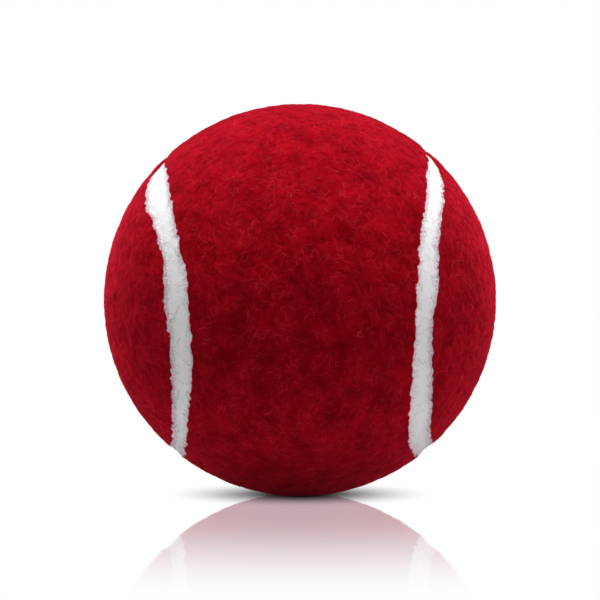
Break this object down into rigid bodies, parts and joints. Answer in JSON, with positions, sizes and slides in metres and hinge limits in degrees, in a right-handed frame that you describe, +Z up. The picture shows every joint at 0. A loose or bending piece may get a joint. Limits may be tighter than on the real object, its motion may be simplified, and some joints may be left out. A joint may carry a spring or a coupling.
{
  "type": "tennis ball",
  "caption": "Hollow rubber ball covered by waisted felt panels in deep red, with a white cement seam that winds round between their edges.",
  "frame": {"origin": "centre of the ball", "axes": "+Z up as the ball lies in the picture; -Y towards the viewer, where the front felt panel's waist is; +X to the viewer's right"},
  "size_m": [0.067, 0.067, 0.067],
  "materials": {
    "core_rubber": "matte moulded",
    "rubber_cement": "satin dried film",
    "felt": "matted short nap",
    "seam_cement": "matte, slightly uneven"
  },
  "bodies": {
    "root": {"core_cup_upper": "core_rubber", "core_cup_lower": "core_rubber", "core_joint_cement": "rubber_cement", "panel_cement_front": "rubber_cement", "panel_cement_rear": "rubber_cement", "felt_panel_front": "felt", "felt_panel_rear": "felt", "seam_cement": "seam_cement"}
  },
  "joints": []
}
